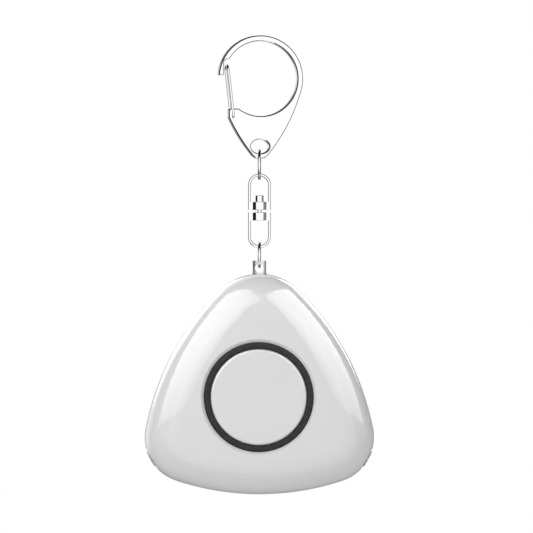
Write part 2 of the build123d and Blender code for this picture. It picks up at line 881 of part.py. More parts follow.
with BuildPart() as pin_guide:
    with BuildSketch(Plane.XY.offset(guide_top_z)):
        Circle(guide_radius)
        Circle(pin_shaft_radius + running_gap, mode=Mode.SUBTRACT)
    extrude(amount=-guide_length)
    with BuildSketch(Plane.XY.offset(leaf_top_z + seat_gap)):
        with Locations((0, -guide_radius)):
            Rectangle(
                2 * guide_radius,
                board_back - guide_radius,
                align=(Align.CENTER, Align.MAX),
            )
        with Locations((0, -guide_radius)):
            Rectangle(2 * guide_radius, guide_radius / 2, align=(Align.CENTER, Align.MIN))
    extrude(amount=guide_radius)
    with BuildSketch(Plane.XY.offset(guide_top_z)):
        Circle(pin_shaft_radius + running_gap)
    extrude(amount=-guide_length, mode=Mode.SUBTRACT)
pin_guide.part.label = "pin_guide"
export_step(pin_guide.part, "parts/pin_guide.step")

with BuildPart() as pin_contacts:
    with BuildSketch(Plane.XY.offset(leaf_top_z)):
        for side in (1, -1):
            with Locations((side * (pin_shaft_radius + leaf_gap + leaf_thickness / 2), leaf_width / 2)):
                Rectangle(
                    leaf_thickness,
                    board_back + leaf_width / 2,
                    align=(Align.CENTER, Align.MAX),
                )
    extrude(amount=-leaf_length)
pin_contacts.part.label = "pin_contacts"
export_step(pin_contacts.part, "parts/pin_contacts.step")

# Battery holder: a trough for the row of cells, open to the door, with the door's screw boss
holder_plane = Plane(origin=(0, 0, battery_z), x_dir=(0, 1, 0), z_dir=(1, 0, 0))
trough_radius = cell_radius + holder_lip
trough_half_length = holder_half_length - holder_end_wall
contact_x = cell_count * cell_length / 2 + contact_gap + contact_thickness / 2
contact_foot_width = board_back - battery_front - contact_size / 2 + contact_foot_lap


def holder_section(radius):
    """Round bottom of the trough with straight sides that rise towards the back."""
    with BuildSketch() as section:
        with Locations((-battery_front, 0)):
            Circle(radius)
            Rectangle(holder_rise + battery_front, 2 * radius, align=(Align.MIN, Align.CENTER))
        with Locations((holder_rise, 0)):
            Rectangle(2 * radius, 2 * radius, align=(Align.MIN, Align.CENTER), mode=Mode.SUBTRACT)
    return section.sketch


with BuildPart() as battery_holder:
    with BuildSketch(holder_plane):
        add(holder_section(holder_radius))
    extrude(amount=holder_half_length, both=True)
    with BuildSketch(holder_plane):
        add(holder_section(trough_radius))
    extrude(amount=trough_half_length, both=True, mode=Mode.SUBTRACT)
    with BuildSketch(front_plane.offset(-(back_depth - wall))):
        with Locations((door_screw_place, -battery_drop)):
            Circle(door_boss_radius)
    extrude(amount=door_boss_length)
    with BuildSketch(front_plane.offset(door_boss_length - back_depth + wall)):
        with Locations((holder_half_length, -battery_drop)):
            Rectangle(
                door_screw_place - holder_half_length,
                door_boss_radius,
                align=(Align.MIN, Align.CENTER),
            )
    extrude(amount=-(holder_rise + door_boss_length - back_depth + wall))
    with BuildSketch(front_plane.offset(-(back_depth - wall))):
        with Locations((door_screw_place, -battery_drop)):
            Circle(screw_radius)
    extrude(amount=door_screw_length, mode=Mode.SUBTRACT)
    # Notches that let the contacts' feet out to the board
    with BuildSketch(front_plane.offset(board_back + seat_gap)):
        with Locations((contact_x, -battery_drop), (-contact_x, -battery_drop)):
            Rectangle(
                contact_thickness + 2 * seat_gap,
                holder_radius + overrun,
                align=(Align.CENTER, Align.MIN),
            )
    extrude(amount=-(contact_foot_width + 2 * seat_gap), mode=Mode.SUBTRACT)
battery_holder.part.label = "battery_holder"
export_step(battery_holder.part, "parts/battery_holder.step")

# Three button cells in a row, each with a stepped cap
with BuildPart() as battery_cells:
    for cell in range(cell_count):
        start_x = (cell - cell_count / 2) * cell_length
        with BuildSketch(holder_plane.offset(start_x + seat_gap / 2)):
            with Locations((-battery_front, 0)):
                Circle(cell_radius)
        extrude(amount=cell_length - cell_cap_height - seat_gap)
        with BuildSketch(holder_plane.offset(start_x + cell_length - cell_cap_height - seat_gap / 2)):
            with Locations((-battery_front, 0)):
                Circle(cell_cap_radius)
        extrude(amount=cell_cap_height)
battery_cells.part.label = "battery_cells"
export_step(battery_cells.part, "parts/battery_cells.step")


def battery_contact(side):
    """Spring plate at one end of the cells, with a foot that lies on the board's back."""
    with BuildPart() as contact:
        with BuildSketch(holder_plane.offset(side * contact_x - contact_thickness / 2)):
            with Locations((-battery_front, 0)):
                Rectangle(contact_size, contact_size)
            with Locations((-board_back, 0)):
                Rectangle(
                    contact_foot_width,
                    contact_foot_rise,
                    align=(Align.MIN, Align.MIN),
                )
        extrude(amount=contact_thickness)
    return contact.part


battery_contact_plus = battery_contact(1)
battery_contact_plus.label = "battery_contact_plus"
export_step(battery_contact_plus, "parts/battery_contact_plus.step")

battery_contact_minus = battery_contact(-1)
battery_contact_minus.label = "battery_contact_minus"
export_step(battery_contact_minus, "parts/battery_contact_minus.step")

# Battery door: a piece of the back's own wall with a pad that holds the cells in
cell_back = cell_radius - battery_front

door_screw_plane = front_plane.offset(-back_depth) * Pos(door_screw_place, -battery_drop)
door_cone_place = door_screw_plane * Pos(0, 0, door_countersink / 2)

with BuildPart() as battery_door:
    with BuildSketch(front_plane.offset(-back_depth)):
        draw_door(0)
    extrude(amount=wall)
    add(back_outer, mode=Mode.INTERSECT)
    with BuildSketch(front_plane.offset(-(back_depth - wall))):
        with Locations((0, -battery_drop)):
            Rectangle(door_pad_width, door_pad_height)
    extrude(amount=back_depth - wall - cell_back - seat_gap)
    with Locations(Plane.XZ * Pos(door_screw_place, battery_z)):
        Hole(screw_radius + running_gap)
    with Locations(door_cone_place):
        Cone(
            bottom_radius=screw_head_radius + running_gap,
            top_radius=screw_radius + running_gap,
            height=door_countersink,
            mode=Mode.SUBTRACT,
        )
battery_door.part.label = "battery_door"
export_step(battery_door.part, "parts/battery_door.step")

# Countersunk door screw and the four pan-head casing screws, each with a cross slot
with BuildPart() as battery_door_screw:
    with Locations(door_cone_place):
        Cone(
            bottom_radius=screw_head_radius,
            top_radius=screw_radius,
            height=door_countersink,
        )
    with BuildSketch(front_plane.offset(-back_depth + door_countersink)):
        with Locations((door_screw_place, -battery_drop)):
            Circle(screw_radius)
    extrude(amount=door_screw_length)
    with BuildSketch(front_plane.offset(-back_depth)):
        with Locations((door_screw_place, -battery_drop)):
            Rectangle(2 * screw_radius, screw_slot_width)
            Rectangle(screw_slot_width, 2 * screw_radius)
    extrude(amount=screw_slot_depth, mode=Mode.SUBTRACT)
battery_door_screw.part.label = "battery_door_screw"
export_step(battery_door_screw.part, "parts/battery_door_screw.step")

screw_floor = back_depth - screw_head_sink

with BuildPart() as casing_screws:
    with BuildSketch(front_plane.offset(-screw_floor)):
        with Locations(*bosses):
            Circle(screw_head_radius)
    extrude(amount=-screw_head_height)
    heads = casing_screws.edges().group_by(Axis.Y)[-1]
    fillet(heads, radius=screw_head_round)
    with BuildSketch(front_plane.offset(-screw_floor)):
        with Locations(*bosses):
            Circle(screw_radius)
    extrude(amount=screw_floor + screw_pilot_depth - seat_gap)
    with BuildSketch(front_plane.offset(-screw_floor - screw_head_height)):
        with Locations(*bosses):
            Rectangle(2 * screw_radius, screw_slot_width)
            Rectangle(screw_slot_width, 2 * screw_radius)
    extrude(amount=screw_slot_depth, mode=Mode.SUBTRACT)
casing_screws.part.label = "casing_screws"
export_step(casing_screws.part, "parts/casing_screws.step")
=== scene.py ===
"""Studio scene of a personal safety alarm on a key-ring chain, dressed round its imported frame."""

from __future__ import annotations

import logging
import math
from dataclasses import dataclass, field
from enum import Enum

import bmesh
import bpy
from mathutils import Matrix, Vector

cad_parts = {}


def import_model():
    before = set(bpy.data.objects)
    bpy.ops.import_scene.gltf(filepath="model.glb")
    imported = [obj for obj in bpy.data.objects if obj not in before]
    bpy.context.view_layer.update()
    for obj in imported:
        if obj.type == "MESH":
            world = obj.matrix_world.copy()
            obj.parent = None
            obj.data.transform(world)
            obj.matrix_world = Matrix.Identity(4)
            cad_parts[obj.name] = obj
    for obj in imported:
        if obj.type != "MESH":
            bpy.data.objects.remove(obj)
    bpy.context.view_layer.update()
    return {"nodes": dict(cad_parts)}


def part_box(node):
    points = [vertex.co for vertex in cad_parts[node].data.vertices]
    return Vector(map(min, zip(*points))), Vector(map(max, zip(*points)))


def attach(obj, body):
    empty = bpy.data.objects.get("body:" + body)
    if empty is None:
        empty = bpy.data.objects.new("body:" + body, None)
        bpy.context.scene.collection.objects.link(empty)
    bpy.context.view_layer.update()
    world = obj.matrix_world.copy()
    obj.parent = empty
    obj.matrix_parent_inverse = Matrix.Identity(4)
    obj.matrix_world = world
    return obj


LOG = logging.getLogger("alarm_scene")
MM = 0.001
MICRON = 0.000001
WHITE = (1.0, 1.0, 1.0, 1.0)

# Nearly all values of a noise texture lie between these two
NOISE_LOW = 0.3
NOISE_HIGH = 0.7

# Length of one wave of Blender's wave texture at a scale of 1
WAVE_LENGTH = 0.314

# Sockets of Blender's mix node, whose names repeat and so are given by number
MIX_SHARE = 0
MIX_NUMBERS = (2, 3)
MIX_COLOURS = (6, 7)
MIXED_NUMBER = 0
MIXED_COLOUR = 2

Colour = tuple[float, float, float]
Place = tuple[float, float, float]
Pair = tuple[float, float]
Value = float | Colour | Place | bpy.types.NodeSocket


class Side(Enum):
    """Left or right of the object, seen from the front."""

    LEFT = "left"
    RIGHT = "right"


class Grain(Enum):
    """How coarse a moulded surface is, as the size of its grain in metres."""

    PEEL = 1.4 * MM
    SATIN = 0.18 * MM
    SPARK = 0.35 * MM


class Light(Enum):
    """Which part of a surface a lamp reaches: its own colour, or the gloss on top."""

    BODY = "body"
    GLOSS = "gloss"


def add_node(
    tree: bpy.types.NodeTree, kind: str, values: dict[str | int, Value], **options: str
) -> bpy.types.Node:
    """Adds a node, with each of its inputs either set or joined.

    Args:
        tree: The node tree that gets it.
        kind: Blender's name of the node's type.
        values: What each input gets, a value or another node's output.
        options: The node's own settings.

    Returns:
        The node.
    """
    node = tree.nodes.new(kind)
    for key, option in options.items():
        setattr(node, key, option)
    for key, value in values.items():
        if isinstance(value, bpy.types.NodeSocket):
            tree.links.new(value, node.inputs[key])
        else:
            node.inputs[key].default_value = value
    return node


def span(
    tree: bpy.types.NodeTree, value: Value, start: Value, end: Value, low: Value, high: Value
) -> bpy.types.NodeSocket:
    """Maps a value from one range to another and holds it there at both ends.

    Args:
        tree: The node tree.
        value: The value to map.
        start: Where the value's range starts.
        end: Where it ends.
        low: What the start becomes.
        high: What the end becomes.

    Returns:
        The mapped value.
    """
    values = {"Value": value, "From Min": start, "From Max": end, "To Min": low, "To Max": high}
    return add_node(tree, "ShaderNodeMapRange", values).outputs["Result"]


def compute(
    tree: bpy.types.NodeTree, operation: str, first: Value, second: Value = 0.0
) -> bpy.types.NodeSocket:
    """Works out one number from two.

    Args:
        tree: The node tree.
        operation: Blender's name of the operation.
        first: The first number.
        second: The second number.

    Returns:
        The result.
    """
    return add_node(tree, "ShaderNodeMath", {0: first, 1: second}, operation=operation).outputs["Value"]


def mix(tree: bpy.types.NodeTree, share: Value, low: Value, high: Value) -> bpy.types.NodeSocket:
    """Mixes two numbers.

    Args:
        tree: The node tree.
        share: 0 for the first number, 1 for the second.
        low: The first number.
        high: The second number.

    Returns:
        The mixed number.
    """
    first, second = MIX_NUMBERS
    values = {MIX_SHARE: share, first: low, second: high}
    return add_node(tree, "ShaderNodeMix", values).outputs[MIXED_NUMBER]


def ray(tree: bpy.types.NodeTree, kind: str) -> bpy.types.NodeSocket:
    """Tells rays of one kind from all others.

    Args:
        tree: The node tree.
        kind: Blender's name of the kind.

    Returns:
        1 for a ray of that kind, 0 for any other.
    """
    return add_node(tree, "ShaderNodeLightPath", {}).outputs[kind]


def looks_past(tree: bpy.types.NodeTree) -> bpy.types.NodeSocket:
    """Tells the rays that look past the object, or through a clear piece of it.

    Args:
        tree: The node tree.

    Returns:
        1 for such a ray, 0 for any other.
    """
    return compute(tree, "MAXIMUM", ray(tree, "Is Camera Ray"), ray(tree, "Is Transmission Ray"))


def lighter(colour: Colour, share: float) -> Colour:
    """Colour made lighter by a share of itself, or darker by a negative one."""
    return tuple(min(1.0, c * (1 + share)) for c in colour)


def opaque(colour: Colour) -> tuple[float, ...]:
    """Colour with the fourth number that a colour socket takes."""
    return (*colour, 1.0)


class Graph:
    """Node tree of one material, with short calls for the nodes that the finishes share."""

    def __init__(self, name: str) -> None:
        """Makes an empty material with its main shader.

        Args:
            name: Name of the material.
        """
        self.material = bpy.data.materials.new(name)
        self.material.use_nodes = True
        self.tree = self.material.node_tree
        self.shader = self.tree.nodes["Principled BSDF"]
        self.place = self.tree.nodes.new("ShaderNodeTexCoord").outputs["Object"]

    def set(self, **values: float) -> None:
        """Sets sockets of the main shader.

        Args:
            values: Socket names with underscores for spaces, and what each gets.
        """
        for key, value in values.items():
            self.shader.inputs[key.replace("_", " ")].default_value = value

    def link(self, output: bpy.types.NodeSocket, socket: str) -> None:
        """Joins a node's output to a socket of the main shader.

        Args:
            output: The output to join.
            socket: Name of the shader's socket.
        """
        self.tree.links.new(output, self.shader.inputs[socket])

    def noise(
        self, size: float, detail: float = 3.0, stretch: Place = (1.0, 1.0, 1.0)
    ) -> bpy.types.NodeSocket:
        """Adds noise whose features have a real size.

        Args:
            size: Size of the features in metres.
            detail: Octaves of finer noise.
            stretch: How many times denser the noise is along each axis.

        Returns:
            The noise's value output.
        """
        mapping = add_node(self.tree, "ShaderNodeMapping", {"Vector": self.place, "Scale": stretch})
        values = {"Vector": mapping.outputs["Vector"], "Scale": 1 / size, "Detail": detail}
        return add_node(self.tree, "ShaderNodeTexNoise", values).outputs["Fac"]

    def waves(self, length: float, direction: str, distortion: float) -> bpy.types.NodeSocket:
        """Adds parallel bands that lie a real distance apart.

        Args:
            length: From one band to the next, in metres.
            direction: The axis that the bands follow one another along.
            distortion: How uneven the bands are.

        Returns:
            The bands' value output.
        """
        bands = {"Vector": self.place, "Scale": WAVE_LENGTH / length, "Distortion": distortion}
        return add_node(self.tree, "ShaderNodeTexWave", bands, bands_direction=direction).outputs["Fac"]

    def spread(self, value: bpy.types.NodeSocket, low: float, high: float) -> bpy.types.NodeSocket:
        """Maps the middle of a noise's range to a span of numbers.

        Args:
            value: The noise.
            low: What the low end becomes.
            high: What the high end becomes.

        Returns:
            The mapped value.
        """
        return span(self.tree, value, NOISE_LOW, NOISE_HIGH, low, high)

    def blend(self, share: Value, low: Value, high: Value) -> bpy.types.NodeSocket:
        """Mixes two colours.

        Args:
            share: 0 for the first colour, 1 for the second.
            low: The first colour.
            high: The second colour.

        Returns:
            The mixed colour.
        """
        first, second = MIX_COLOURS
        low, high = (opaque(colour) if isinstance(colour, tuple) else colour for colour in (low, high))
        values = {MIX_SHARE: share, first: low, second: high}
        return add_node(self.tree, "ShaderNodeMix", values, data_type="RGBA").outputs[MIXED_COLOUR]

    def bump(self, height: bpy.types.NodeSocket, depth: float) -> None:
        """Raises the surface by a height value.

        Args:
            height: The height, 0 to 1.
            depth: Real depth of a height of 1, in metres.
        """
        values = {"Distance": depth, "Strength": 1.0, "Height": height}
        self.link(add_node(self.tree, "ShaderNodeBump", values).outputs["Normal"], "Normal")

    def seam_distance(self) -> bpy.types.NodeSocket:
        """Measures how far each point is from the plane where the two shells meet.

        Returns:
            The distance in metres.
        """
        split = add_node(self.tree, "ShaderNodeSeparateXYZ", {"Vector": self.place})
        return compute(self.tree, "ABSOLUTE", split.outputs["Y"])


@dataclass(frozen=True)
class Finish:
    """What every finish has: its name, colour and roughness, and how far its tone wanders."""

    name: str
    colour: Colour
    roughness: float
    tone_drift: float = 0.015
    drift_size: float = 12 * MM

    def graph(self) -> Graph:
        """Starts the finish's node tree with its roughness.

        Returns:
            The node tree, ready for the finish's own nodes.
        """
        graph = Graph(self.name)
        graph.set(Roughness=self.roughness)
        return graph

    def tone(self, graph: Graph) -> bpy.types.NodeSocket:
        """Adds the finish's wandering tone.

        Args:
            graph: The node tree that gets it.

        Returns:
            The colour.
        """
        share = graph.spread(graph.noise(self.drift_size), 0.0, 1.0)
        dark, light = lighter(self.colour, -self.tone_drift), lighter(self.colour, self.tone_drift)
        return graph.blend(share, dark, light)

    def toned_graph(self) -> Graph:
        """Starts the finish's node tree with its roughness and its wandering tone.

        Returns:
            The node tree, ready for the finish's own nodes.
        """
        graph = self.graph()
        graph.link(self.tone(graph), "Base Color")
        return graph


@dataclass(frozen=True)
class Polished(Finish):
    """Plated or polished metal with hair-fine rub marks, which make it a share rougher or smoother."""

    rub_size: float = 2.5 * MM
    rub_depth: float = 0.08 * MICRON
    rub_stretch: Place = (1.0, 1.0, 0.3)
    rub_share: float = 0.3

    def material(self) -> bpy.types.Material:
        """Builds the finish.

        Returns:
            The material.
        """
        graph = self.toned_graph()
        graph.set(Metallic=1.0)
        wear = graph.noise(self.rub_size, detail=4.0, stretch=self.rub_stretch)
        smooth, rough = self.roughness * (1 - self.rub_share), self.roughness * (1 + self.rub_share)
        graph.link(graph.spread(wear, smooth, rough), "Roughness")
        graph.bump(wear, self.rub_depth)
        return graph.material


@dataclass(frozen=True)
class Moulded(Finish):
    """Moulded plastic, from mirror gloss to a fine spark grain, with painted shade on its parting line if it
    has one.
    """

    grain: Grain = Grain.SATIN
    grain_depth: float = 4 * MICRON
    grain_share: float = 0.1
    index: float = 1.5
    specular: float = 0.5
    coat: float = 0.0
    coat_roughness: float = 0.03
    coat_index: float = 1.5
    parting_shade_width: float = 0.0
    parting_shade_blur: float = 0.4
    # The dark grey of the seam is painted shade between the shells, not a colour of the plastic
    parting_shade_colour: Colour = (0.16, 0.16, 0.165)

    def part(self, graph: Graph, tone: bpy.types.NodeSocket) -> bpy.types.NodeSocket:
        """Paints a line of shade where the two shells meet, dark grey in place of the plastic's own colour.

        Args:
            graph: The node tree that gets it.
            tone: The colour on both sides of the line.

        Returns:
            The colour with the painted shade line in it.
        """
        half = self.parting_shade_width / 2
        inner, outer = half * (1 - self.parting_shade_blur), half * (1 + self.parting_shade_blur)
        share = span(graph.tree, graph.seam_distance(), inner, outer, 0.0, 1.0)
        # Painted shade: dark grey blended in along the seam between the two shells
        return graph.blend(share, self.parting_shade_colour, tone)

    def material(self) -> bpy.types.Material:
        """Builds the finish.

        Returns:
            The material.
        """
        graph = self.graph()
        graph.set(Coat_Weight=self.coat, Coat_Roughness=self.coat_roughness, Coat_IOR=self.coat_index)
        graph.set(IOR=self.index, Specular_IOR_Level=self.specular)
        tone = self.tone(graph)
        if self.parting_shade_width:
            tone = self.part(graph, tone)
        graph.link(tone, "Base Color")
        grain = graph.noise(self.grain.value, detail=2.0)
        smooth, rough = self.roughness * (1 - self.grain_share), self.roughness * (1 + self.grain_share)
        graph.link(graph.spread(grain, smooth, rough), "Roughness")
        graph.bump(grain, self.grain_depth)
        return graph.material


@dataclass(frozen=True)
class Rubber(Finish):
    """Matt rubber with a mottled bloom, which is a share rougher, and a fine grain."""

    bloom: Colour = (0.09, 0.09, 0.095)
    bloom_share: float = 0.2
    mottle_size: float = 0.7 * MM
    grain_depth: float = 30 * MICRON
    specular: float = 0.2

    def material(self) -> bpy.types.Material:
        """Builds the finish.

        Returns:
            The material.
        """
        graph = self.graph()
        graph.set(Specular_IOR_Level=self.specular)
        mottle = graph.noise(self.mottle_size, detail=5.0)
        graph.link(graph.blend(graph.spread(mottle, 0.0, 1.0), self.colour, self.bloom), "Base Color")
        bloomed = self.roughness * (1 + self.bloom_share)
        graph.link(graph.spread(mottle, self.roughness, bloomed), "Roughness")
        graph.bump(mottle, self.grain_depth)
        return graph.material


@dataclass(frozen=True)
class Clear(Finish):
    """Clear moulded plastic with faint flow lines."""

    index: float = 1.49
    clearness: float = 1.0
    flow_size: float = 1.8 * MM
    flow_depth: float = 4 * MICRON

    def material(self) -> bpy.types.Material:
        """Builds the finish.

        Returns:
            The material.
        """
        graph = self.toned_graph()
        graph.set(Transmission_Weight=self.clearness, IOR=self.index)
        graph.bump(graph.noise(self.flow_size, detail=2.0), self.flow_depth)
        return graph.material


@dataclass(frozen=True)
class Laminate(Finish):
    """Solder mask over a board, with lighter tracks under it."""

    weave_light: float = 0.3
    track: Colour = (0.04, 0.26, 0.10)
    track_pitch: float = 1.6 * MM
    track_height: float = 30 * MICRON

    def material(self) -> bpy.types.Material:
        """Builds the finish.

        Returns:
            The material.
        """
        graph = self.graph()
        upright = {"Vector": graph.place, "Rotation": (math.pi / 2, 0.0, 0.0)}
        turn = add_node(graph.tree, "ShaderNodeMapping", upright)
        tracks = {
            "Vector": turn.outputs["Vector"],
            "Scale": 1 / self.track_pitch,
            "Color1": opaque(self.colour),
            "Color2": opaque(lighter(self.colour, self.weave_light)),
            "Mortar": opaque(self.track),
        }
        weave = add_node(graph.tree, "ShaderNodeTexBrick", tracks)
        graph.link(weave.outputs["Color"], "Base Color")
        graph.bump(weave.outputs["Fac"], self.track_height)
        return graph.material


@dataclass(frozen=True)
class Winding(Finish):
    """Enamelled wire wound round a bobbin that stands front to back."""

    wire: float = 0.2 * MM
    unevenness: float = 0.3
    metal_share: float = 0.8

    def material(self) -> bpy.types.Material:
        """Builds the finish.

        Returns:
            The material.
        """
        graph = self.toned_graph()
        graph.set(Metallic=self.metal_share)
        graph.bump(graph.waves(self.wire, "Y", self.unevenness), self.wire / 2)
        return graph.material


@dataclass(frozen=True)
class Woven(Finish):
    """Fine black cloth of crossing threads, with painted shade between them and a painted highlight on top.
    """

    thread: float = 0.4 * MM
    unevenness: float = 0.4
    # Painted shade between the threads and a painted highlight on their tops, as shares of the cloth's
    # colour
    gap_painted_shade: float = -0.8
    top_painted_highlight: float = 1.5
    relief_share: float = 1 / 3

    def material(self) -> bpy.types.Material:
        """Builds the finish.

        Returns:
            The material.
        """
        graph = self.graph()
        threads = [graph.waves(self.thread, direction, self.unevenness) for direction in ("X", "Z")]
        height = compute(graph.tree, "MULTIPLY", *threads)
        # Painted shade in the gaps and a painted highlight on the threads' tops, set by the threads' height
        gap, top = lighter(self.colour, self.gap_painted_shade), lighter(self.colour, self.top_painted_highlight)
        graph.link(graph.blend(height, gap, top), "Base Color")
        graph.bump(height, self.thread * self.relief_share)
        return graph.material


CHROME = Polished("chrome", (0.965, 0.967, 0.97), roughness=0.03)
SATIN_CHROME = Polished("satin_chrome", (0.84, 0.84, 0.845), roughness=0.42)
GLOSS_WHITE = Moulded(
    "gloss_white_shell",
    (0.79, 0.79, 0.793),
    roughness=0.30,
    tone_drift=0.006,
    grain=Grain.PEEL,
    grain_depth=0.3 * MICRON,
    specular=0.15,
    coat=1.0,
    coat_index=1.45,
    # A line of painted shade along the seam between the shells
    parting_shade_width=0.22 * MM,
)
SATIN_WHITE = Moulded(
    "satin_white_button",
    (0.76, 0.76, 0.763),
    roughness=0.35,
    tone_drift=0.006,
    coat=0.8,
    coat_roughness=0.10,
)
BEZEL = Rubber("bezel_rubber", (0.012, 0.012, 0.013), roughness=0.60, bloom=(0.032, 0.032, 0.034))
DUST_CLOTH = Woven("black_dust_cloth", (0.03, 0.03, 0.032), roughness=0.8)
LENS = Clear("clear_lens", (0.88, 0.89, 0.90), roughness=0.08, clearness=0.60)
LAMP = Clear("clear_lamp", (0.93, 0.96, 1.0), roughness=0.12)
BOARD = Laminate("green_board", (0.01, 0.12, 0.05), roughness=0.35)
INNER_BLACK = Moulded("black_moulding", (0.02, 0.02, 0.022), roughness=0.5, grain=Grain.SPARK)
INNER_WHITE = Moulded("plain_white_moulding", (0.72, 0.72, 0.70), roughness=0.5, grain=Grain.SPARK)
COPPER = Winding("copper_winding", (0.55, 0.22, 0.08), roughness=0.3)
BRASS = Polished("rolled_brass", (0.78, 0.58, 0.25), roughness=0.28, rub_size=0.6 * MM)
CELL_STEEL = Polished("nickel_cell", (0.70, 0.70, 0.69), roughness=0.22, rub_size=0.8 * MM)
SCREW_STEEL = Polished("zinc_screw", (0.62, 0.62, 0.64), roughness=0.30, rub_size=0.5 * MM)

HOOK_PIECES = ("hook_body", "hook_gate")
LINKS = ("ring_upper", "swivel_upper", "swivel_lower", "swivel_rivet", "ring_lower")
METAL_PIECES = (*HOOK_PIECES, *LINKS, "pull_pin")


@dataclass
class Wardrobe:
    """Makes each finish once and puts it on pieces of the frame or of the scene."""

    nodes: dict[str, bpy.types.Object]
    made: dict[str, bpy.types.Material] = field(default_factory=dict)

    def material(self, finish: Finish) -> bpy.types.Material:
        """Gives a finish's material, built at its first use.

        Args:
            finish: The finish.

        Returns:
            Its material.
        """
        if finish.name not in self.made:
            self.made[finish.name] = finish.material()
        return self.made[finish.name]

    def dress(self, piece: bpy.types.Object, finish: Finish) -> None:
        """Puts a finish on a piece.

        Args:
            piece: The piece.
            finish: What it gets.
        """
        if not piece.material_slots:
            piece.data.materials.append(None)
        for slot in piece.material_slots:
            slot.material = self.material(finish)
        LOG.info("dressed %s in %s", piece.name, finish.name)

    def dress_nodes(self, finishes: dict[str, Finish]) -> None:
        """Puts finishes on pieces of the frame.

        Args:
            finishes: What each CAD node gets, by the node's name.
        """
        for name, finish in finishes.items():
            self.dress(self.nodes[name], finish)


@dataclass
class SnapHook:
    """Flat snap hook and its sprung wire gate."""

    wardrobe: Wardrobe

    def build(self) -> None:
        """Dresses the hook and the gate."""
        self.wardrobe.dress_nodes({name: CHROME for name in HOOK_PIECES})


@dataclass
class Chain:
    """Two jump rings with the swivel between them, and the pull pin at the foot."""

    wardrobe: Wardrobe

    def build(self) -> None:
        """Dresses every link and the pin."""
        self.wardrobe.dress_nodes({name: CHROME for name in LINKS})
        self.wardrobe.dress_nodes({"pull_pin": SATIN_CHROME})


@dataclass
class Casing:
    """Front and back shells with their screws."""

    wardrobe: Wardrobe

    def build(self) -> None:
        """Dresses the shells and the screws."""
        finishes = {"front_shell": GLOSS_WHITE, "back_shell": GLOSS_WHITE, "casing_screws": SCREW_STEEL}
        self.wardrobe.dress_nodes(finishes)


@dataclass
class PressButton:
    """Round button in its rubber bezel."""

    wardrobe: Wardrobe

    def build(self) -> None:
        """Dresses the button and the bezel."""
        self.wardrobe.dress_nodes({"button_cap": SATIN_WHITE, "button_bezel": BEZEL})


@dataclass
class CornerLamp:
    """Clear window in a lower corner with its lamp behind it."""

    wardrobe: Wardrobe
    side: Side

    def build(self) -> None:
        """Dresses the window and the lamp of this side."""
        self.wardrobe.dress_nodes({f"lens_{self.side.value}": LENS, f"led_{self.side.value}": LAMP})


@dataclass
class BatteryBay:
    """Cells, holder and contacts behind a screwed door."""

    wardrobe: Wardrobe

    def build(self) -> None:
        """Dresses the bay from the outside in."""
        finishes = {
            "battery_door": GLOSS_WHITE,
            "battery_door_screw": SCREW_STEEL,
            "battery_holder": INNER_WHITE,
            "battery_cells": CELL_STEEL,
            "battery_contact_plus": BRASS,
            "battery_contact_minus": BRASS,
        }
        self.wardrobe.dress_nodes(finishes)


@dataclass
class Circuit:
    """Board with its switch, chip and coil, the sounder, and the contacts that the pin holds apart."""

    wardrobe: Wardrobe
    cup_wall: float = 2.3 * MM
    cloth_thickness: float = 0.12 * MM
    cloth_gap: float = 0.05 * MM
    cloth_rings: int = 8
    cloth_spokes: int = 72

    def weave_disc(self, radius: float) -> bmesh.types.BMesh:
        """Makes a flat disc of rings and spokes.

        Args:
            radius: Radius of the disc.

        Returns:
            The disc, lying flat round the origin.
        """
        disc = bmesh.new()
        spokes = self.cloth_spokes
        for ring in range(1, self.cloth_rings + 1):
            bmesh.ops.create_circle(disc, radius=radius * ring / self.cloth_rings, segments=spokes)
        disc.verts.ensure_lookup_table()
        for ring in range(self.cloth_rings - 1):
            inner, outer = ring * spokes, (ring + 1) * spokes
            for spoke in range(spokes):
                after = (spoke + 1) % spokes
                corners = (inner + spoke, outer + spoke, outer + after, inner + after)
                disc.faces.new([disc.verts[corner] for corner in corners])
        disc.faces.new(disc.verts[:spokes])
        return disc

    def build_dust_cloth(self) -> None:
        """Stretches a black cloth in the sounder's mouth, behind the slots of the outlet."""
        low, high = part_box("sounder_cup")
        disc = self.weave_disc((high.x - low.x) / 2 - self.cup_wall)
        turn = Matrix.Rotation(math.pi / 2, 4, "X")
        middle = Vector(((low.x + high.x) / 2, high.y - self.cloth_gap, (low.z + high.z) / 2))
        bmesh.ops.transform(disc, matrix=Matrix.Translation(middle) @ turn, verts=disc.verts)
        bmesh.ops.recalc_face_normals(disc, faces=disc.faces)
        mesh = bpy.data.meshes.new("dust_cloth")
        disc.to_mesh(mesh)
        disc.free()
        cloth = bpy.data.objects.new("dust_cloth", mesh)
        bpy.context.scene.collection.objects.link(cloth)
        body = cloth.modifiers.new("thickness", "SOLIDIFY")
        body.thickness = self.cloth_thickness
        body.offset = 0.0
        self.wardrobe.dress(cloth, DUST_CLOTH)
        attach(cloth, "casing")

    def build(self) -> None:
        """Dresses what the casing hides."""
        finishes = {
            "circuit_board": BOARD,
            "tact_switch": INNER_BLACK,
            "control_chip": INNER_BLACK,
            "boost_coil": COPPER,
            "sounder_cup": INNER_BLACK,
            "piezo_disc": BRASS,
            "pin_guide": INNER_WHITE,
            "pin_contacts": BRASS,
        }
        self.wardrobe.dress_nodes(finishes)
        self.build_dust_cloth()


